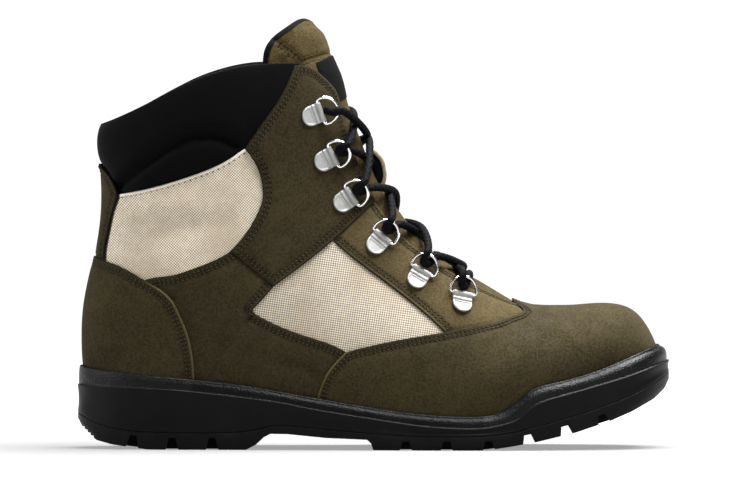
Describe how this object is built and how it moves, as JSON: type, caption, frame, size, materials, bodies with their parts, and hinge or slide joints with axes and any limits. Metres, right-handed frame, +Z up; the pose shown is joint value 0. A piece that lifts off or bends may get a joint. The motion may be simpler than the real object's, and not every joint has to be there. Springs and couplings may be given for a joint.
{
  "type": "boot",
  "caption": "Right-foot lace-up field boot: nubuck overlays on a nylon upper, padded collar, tongue, D-ring lacing and a black cup sole with heel and lugs",
  "frame": {"origin": "centre of the bounding box in X and Y, on the floor in Z", "axes": "+X to the toe, +Y to the inner side of the foot, +Z up"},
  "size_m": [0.3063, 0.1118, 0.2218],
  "materials": {
    "rubber": "matte",
    "footbed": "matte",
    "nylon": "basket weave",
    "nubuck": "napped",
    "textile": "matte",
    "steel": "polished",
    "braid": "braided"
  },
  "bodies": {
    "root": {"ankle_panel_inner": "nubuck", "ankle_panel_outer": "nubuck", "backstay": "nubuck", "clip_inner_1": "steel", "clip_inner_2": "steel", "clip_inner_3": "steel", "clip_inner_4": "steel", "clip_inner_5": "steel", "clip_inner_6": "steel", "clip_outer_1": "steel", "clip_outer_2": "steel", "clip_outer_3": "steel", "clip_outer_4": "steel", "clip_outer_5": "steel", "clip_outer_6": "steel", "collar": "textile", "counter": "nubuck", "eyestay_inner": "nubuck", "eyestay_outer": "nubuck", "insole": "footbed", "lace": "braid", "lace_keeper": "nubuck", "midsole": "rubber", "outsole": "rubber", "quarter_inner": "nubuck", "quarter_outer": "nubuck", "ring_inner_1": "steel", "ring_inner_2": "steel", "ring_inner_3": "steel", "ring_inner_4": "steel", "ring_inner_5": "steel", "ring_inner_6": "steel", "ring_outer_1": "steel", "ring_outer_2": "steel", "ring_outer_3": "steel", "ring_outer_4": "steel", "ring_outer_5": "steel", "ring_outer_6": "steel", "tongue": "nubuck", "tongue_label": "textile", "upper": "nylon", "vamp": "nubuck"}
  },
  "joints": []
}
